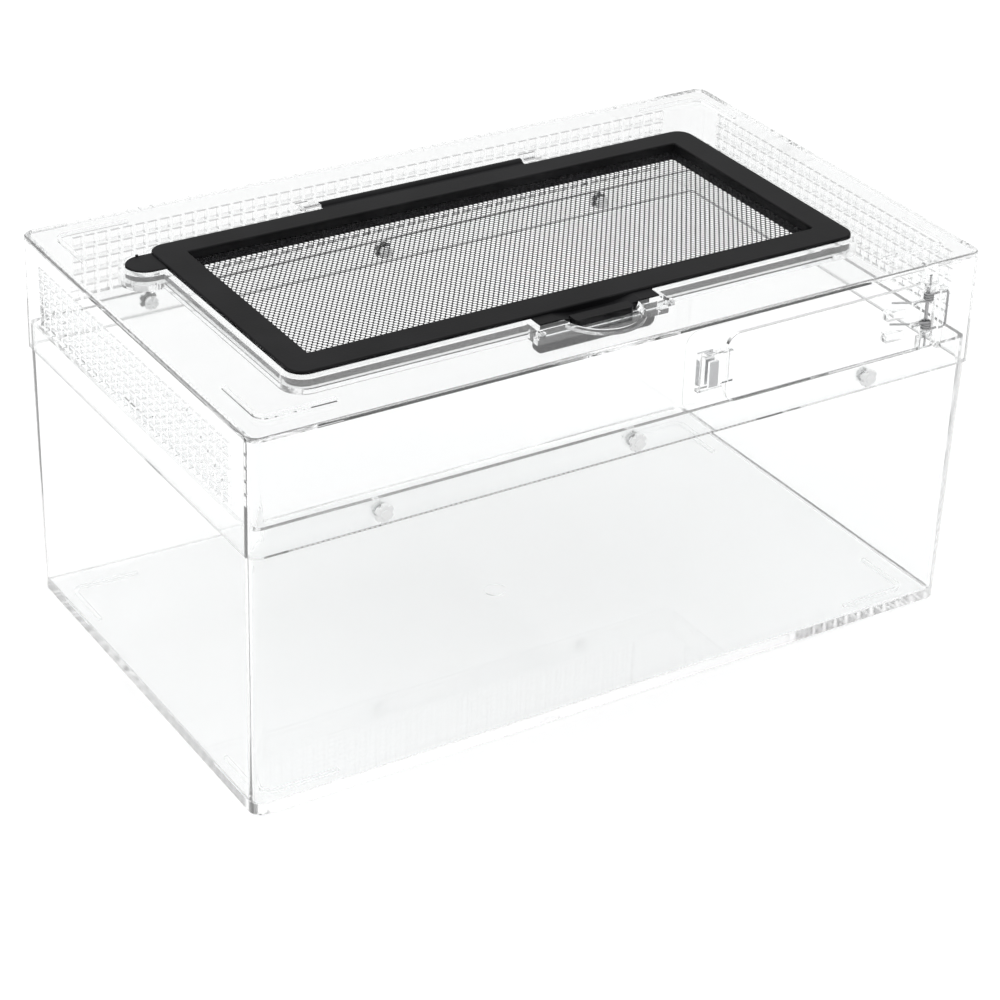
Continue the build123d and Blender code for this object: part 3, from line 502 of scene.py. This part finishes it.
@dataclass
class TopDoor:
    """The black framed door with its fine net and its steel pin."""

    palette: Palette
    gap_length: float = 2.25 * MM
    gap_depth: float = 3.2 * MM
    strand_width: float = 0.26 * MM
    strand_height: float = 0.2 * MM
    strand_bevel: float = 0.06 * MM
    bevel_segments: int = 1
    knot_width: float = 0.46 * MM
    knot_length: float = 1.3 * MM
    knot_sides: int = 6

    def strands(self, lean: StrandLean, level: Level) -> bpy.types.Object:
        """Model one layer of parallel strands, cut to the net's outline.

        Args:
            lean: which way the strands run.
            level: which of the two layers this is.

        Returns:
            The layer as one object.
        """
        low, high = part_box("top_door_net")
        size = high - low
        angle = math.atan2(self.gap_depth, self.gap_length)
        spacing = self.gap_length * math.sin(angle)
        across = size.x * math.sin(angle) + size.y * math.cos(angle)
        along = size.x * math.cos(angle) + size.y * math.sin(angle)
        count = 2 * math.ceil(across / spacing / 2) + 1
        select_only()
        bpy.ops.mesh.primitive_cube_add(size=1, scale=(along, self.strand_width, self.strand_height))
        layer = newest(f"strands_{level.name.lower()}")
        settle(layer)
        bevel = layer.modifiers.new("soften", "BEVEL")
        bevel.width = self.strand_bevel
        bevel.segments = self.bevel_segments
        repeat_along(layer, count, (0, spacing, 0))
        apply_modifiers(layer)
        layer.location = (0, -spacing * (count - 1) / 2, 0)
        settle(layer)
        layer.rotation_euler = (0, 0, lean.value * angle)
        rise = self.strand_height / 2
        layer.location = ((low.x + high.x) / 2, (low.y + high.y) / 2, low.z + rise)
        if level is Level.UPPER:
            layer.location.z = high.z - rise
        settle(layer)
        self.trim(layer, low, high)
        return layer

    def trim(self, layer: bpy.types.Object, low: Vector, high: Vector) -> None:
        """Cut a layer along the net's four edges and close the cuts.

        Args:
            layer: the layer of strands.
            low: the net's lowest corner.
            high: the net's highest corner.
        """
        sides = (
            ((low.x, 0, 0), (-1, 0, 0)), ((high.x, 0, 0), (1, 0, 0)),
            ((0, low.y, 0), (0, -1, 0)), ((0, high.y, 0), (0, 1, 0)),
        )
        select_only(layer)
        bpy.ops.object.mode_set(mode="EDIT")
        for place, outwards in sides:
            bpy.ops.mesh.select_all(action="SELECT")
            bpy.ops.mesh.bisect(plane_co=place, plane_no=outwards, use_fill=True, clear_outer=True)
        bpy.ops.object.mode_set(mode="OBJECT")

    def knots(self, shift: float) -> bpy.types.Object:
        """Model one of the two grids of long knots, where the strands cross.

        Args:
            shift: 0 for the grid through the net's middle, 0.5 for the one between its rows.

        Returns:
            The grid as one object.
        """
        low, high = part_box("top_door_net")
        size = high - low
        columns = 2 * math.floor((size.x - self.knot_width) / self.gap_length / 2 - shift) + 1
        rows = 2 * math.floor((size.y - self.knot_length) / self.gap_depth / 2 - shift) + 1
        select_only()
        bpy.ops.mesh.primitive_cylinder_add(
            vertices=self.knot_sides, radius=0.5, depth=1, rotation=(0, 0, math.pi / 2),
            scale=(self.knot_length, self.knot_width, size.z),
        )
        grid = newest("knots")
        settle(grid)
        repeat_along(grid, columns, (self.gap_length, 0, 0))
        repeat_along(grid, rows, (0, self.gap_depth, 0))
        apply_modifiers(grid)
        middle = (low + high) / 2
        middle.x += (shift - (columns - 1) / 2) * self.gap_length
        middle.y += (shift - (rows - 1) / 2) * self.gap_depth
        grid.location = middle
        settle(grid)
        return grid

    def build(self) -> None:
        """Model the net and dress the frames, the latch plate and the pin."""
        lower = self.strands(StrandLean.RISING, Level.LOWER)
        upper = self.strands(StrandLean.FALLING, Level.UPPER)
        select_only(lower, upper, self.knots(0.0), self.knots(0.5))
        bpy.ops.object.join()
        net = newest("fine_net")
        dress(net, self.palette.net)
        place_piece(net, Body.TOP_DOOR, "black_net", "top_door_net")
        for node in ("top_door_upper_frame", "top_door_lower_frame", "front_latch_plate"):
            dress(frame["nodes"][node], self.palette.frame)
        dress(frame["nodes"]["top_hinge_pin"], self.palette.pin)
        LOG.info("top door dressed")


@dataclass
class FeedingDoor:
    """The clear feeding door with its magnets, its pin and its close-wound spring."""

    palette: Palette
    wire_radius: float = 0.45 * MM
    coil_radius: float = 1.9 * MM
    coil_turns: int = 3
    coil_rise: float = 3.0 * MM
    leg_reach: float = 14.5 * MM
    leg_inward: float = 5.2 * MM
    bend_radius: float = 1.5 * MM
    points_per_turn: int = 28
    bend_points: int = 8
    wire_roundness: int = 3
    smooth_below: float = math.radians(40)

    def spring_path(self) -> list[Vector]:
        """The wire's centre line: leg, upper coil, loop, lower coil and leg.

        Returns:
            Points in the frame's coordinates, from one leg's tip to the other's.
        """
        low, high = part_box("front_door_spring")
        pin_low, pin_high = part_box("front_hinge_pin")
        axis = (pin_low + pin_high) / 2
        middle = (low.z + high.z) / 2
        top = high.z - self.wire_radius
        loop_x = high.x - self.wire_radius
        lean = math.atan2(self.leg_inward, self.leg_reach)
        lean += math.asin(self.coil_radius / math.hypot(self.leg_inward, self.leg_reach))
        leg_z = top - self.coil_rise
        points = [Vector((axis.x - self.leg_reach, axis.y + self.leg_inward, leg_z))]
        turn = self.coil_turns * math.tau + lean
        steps = self.points_per_turn * self.coil_turns
        for i in range(steps + 1):
            share = i / steps
            angle = -math.pi / 2 - lean + turn * share
            x = axis.x + self.coil_radius * math.cos(angle)
            y = axis.y + self.coil_radius * math.sin(angle)
            points.append(Vector((x, y, leg_z + self.coil_rise * share)))
        loop_y = axis.y - self.coil_radius
        for i in range(self.bend_points + 1):
            angle = math.pi / 2 * (1 - i / self.bend_points)
            x = loop_x - self.bend_radius + self.bend_radius * math.cos(angle)
            z = top - self.bend_radius + self.bend_radius * math.sin(angle)
            points.append(Vector((x, loop_y, z)))
        mirrored = [Vector((p.x, p.y, 2 * middle - p.z)) for p in reversed(points)]
        return points + mirrored

    def spring(self) -> bpy.types.Object:
        """Sweep the wire along its line and close its two ends.

        Returns:
            The spring as one mesh.
        """
        path = self.spring_path()
        data = bpy.data.curves.new("close_wound_spring", "CURVE")
        data.dimensions = "3D"
        data.bevel_depth = self.wire_radius
        data.bevel_resolution = self.wire_roundness
        data.use_fill_caps = True
        line = data.splines.new("POLY")
        line.points.add(len(path) - 1)
        for point, place in zip(line.points, path):
            point.co = (*place, 1.0)
        wire = bpy.data.objects.new("close_wound_spring", data)
        bpy.context.scene.collection.objects.link(wire)
        select_only(wire)
        bpy.ops.object.convert(target="MESH")
        wire = newest("close_wound_spring")
        bpy.ops.object.shade_smooth_by_angle(angle=self.smooth_below)
        return wire

    def build(self) -> None:
        """Model the spring and dress the panel, the magnets and the pin."""
        spring = self.spring()
        dress(spring, self.palette.spring)
        place_piece(spring, Body.HOUSING, "spring_wire", "front_door_spring")
        dress(frame["nodes"]["front_door_panel"], self.palette.door)
        dress(frame["nodes"]["front_hinge_pin"], self.palette.pin)
        for node in ("front_door_magnet", "wall_magnet"):
            dress(frame["nodes"][node], self.palette.magnet)
        LOG.info("feeding door dressed")


# Studio


@dataclass
class Studio:
    """The pale floor, the soft light round it and the camera."""

    azimuth: float = -32.727
    elevation: float = 27.062
    roll: float = 2.015
    distance: float = 1.22315
    aside: float = 0.0033
    above: float = 0.0987
    focal_pixels: float = 2986.5
    image_pixels: float = 1000.0
    centre_row: float = 350.0
    sensor_width: float = 36.0
    nearest: float = 0.01
    farthest: float = 100.0
    floor_half: float = 6.0
    floor_cells: int = 8
    floor_drop: float = 0.4 * MM
    floor_colour: tuple[float, float, float] = (0.93, 0.93, 0.93)
    floor_roughness: float = 0.9
    zenith: float = 1.52
    horizon: float = 0.62
    lift_start: float = 0.4
    lift_end: float = 0.75
    shade: float = 0.8
    shade_sink: float = 0.35
    shade_start: float = 0.25
    shade_full: float = 0.75
    wall_bounces: int = 64
    floor_bounces: int = 32

    def build_floor(self) -> None:
        """Lay a wide pale floor under the box."""
        select_only()
        bpy.ops.mesh.primitive_grid_add(
            x_subdivisions=self.floor_cells, y_subdivisions=self.floor_cells, size=2 * self.floor_half
        )
        floor = newest("studio_floor")
        floor.location.z = -self.floor_drop
        settle(floor)
        material = bpy.data.materials.new("studio_floor")
        material.use_nodes = True
        shader = material.node_tree.nodes["Principled BSDF"]
        shader.inputs["Base Color"].default_value = (*self.floor_colour, 1.0)
        shader.inputs["Roughness"].default_value = self.floor_roughness
        shader.inputs["Specular IOR Level"].default_value = 0.0
        dress(floor, material)

    def build_world(self) -> None:
        """A bright soft light overhead, grey low down and darker still on the camera's side."""
        world = bpy.data.worlds.new("studio_tent")
        bpy.context.scene.world = world
        world.use_nodes = True
        tree = world.node_tree
        coordinates = tree.nodes.new("ShaderNodeTexCoord")
        parts = tree.nodes.new("ShaderNodeSeparateXYZ")
        tree.links.new(coordinates.outputs["Generated"], parts.inputs["Vector"])
        lift = tree.nodes.new("ShaderNodeMapRange")
        lift.interpolation_type = "SMOOTHSTEP"
        lift.inputs["From Min"].default_value = self.lift_start
        lift.inputs["From Max"].default_value = self.lift_end
        lift.inputs["To Min"].default_value = self.horizon
        lift.inputs["To Max"].default_value = self.zenith
        tree.links.new(parts.outputs["Z"], lift.inputs["Value"])
        side = tree.nodes.new("ShaderNodeVectorMath")
        side.operation = "DOT_PRODUCT"
        a = math.radians(self.azimuth)
        side.inputs[1].default_value = (math.sin(a), -math.cos(a), -self.shade_sink)
        tree.links.new(coordinates.outputs["Generated"], side.inputs[0])
        dark = tree.nodes.new("ShaderNodeMapRange")
        dark.interpolation_type = "SMOOTHSTEP"
        dark.inputs["From Min"].default_value = self.shade_start
        dark.inputs["From Max"].default_value = self.shade_full
        dark.inputs["To Min"].default_value = 1.0
        dark.inputs["To Max"].default_value = self.shade
        tree.links.new(side.outputs["Value"], dark.inputs["Value"])
        product = tree.nodes.new("ShaderNodeMath")
        product.operation = "MULTIPLY"
        tree.links.new(lift.outputs["Result"], product.inputs[0])
        tree.links.new(dark.outputs["Result"], product.inputs[1])
        background = tree.nodes["Background"]
        tree.links.new(product.outputs["Value"], background.inputs["Strength"])
        background.inputs["Color"].default_value = WHITE

    def build_camera(self) -> None:
        """Set the camera at the photograph's viewing angle."""
        a = math.radians(self.azimuth)
        e = math.radians(self.elevation)
        r = math.radians(self.roll)
        forward = Vector((-math.sin(a) * math.cos(e), math.cos(a) * math.cos(e), -math.sin(e)))
        level = forward.cross(Vector((0, 0, 1))).normalized()
        upright = level.cross(forward)
        right = math.cos(r) * level + math.sin(r) * upright
        up = -math.sin(r) * level + math.cos(r) * upright
        data = bpy.data.cameras.new("studio_camera")
        data.sensor_width = self.sensor_width
        data.lens = self.focal_pixels * data.sensor_width / self.image_pixels
        data.shift_y = (self.centre_row - self.image_pixels / 2) / self.image_pixels
        data.clip_start = self.nearest
        data.clip_end = self.farthest
        camera = bpy.data.objects.new("studio_camera", data)
        bpy.context.scene.collection.objects.link(camera)
        turn = Matrix((right, up, -forward)).transposed().to_4x4()
        place = -forward * self.distance + right * self.aside + up * self.above
        camera.matrix_world = Matrix.Translation(place) @ turn
        bpy.context.scene.camera = camera

    def set_picture(self) -> None:
        """Plain colours and enough bounces for light to cross several clear walls."""
        scene = bpy.context.scene
        scene.view_settings.view_transform = "Standard"
        scene.view_settings.look = "None"
        scene.cycles.max_bounces = self.wall_bounces
        scene.cycles.transmission_bounces = self.wall_bounces
        scene.cycles.glossy_bounces = self.wall_bounces
        scene.cycles.diffuse_bounces = self.floor_bounces
        scene.cycles.sample_clamp_indirect = 0.0
        scene.cycles.blur_glossy = 0.0

    def build(self) -> None:
        """Build the floor, the light and the camera."""
        self.build_floor()
        self.build_world()
        self.build_camera()
        self.set_picture()
        LOG.info("studio ready")


def main() -> None:
    """Build the sub-assemblies in order and report each."""
    logging.basicConfig(level=logging.INFO, format="%(name)s %(message)s")
    palette = Palette()
    assemblies = (
        Enclosure(palette), Rivets(palette), TopDoor(palette), FeedingDoor(palette), Studio(),
    )
    for assembly in assemblies:
        assembly.build()


if __name__ == "__main__":
    main()
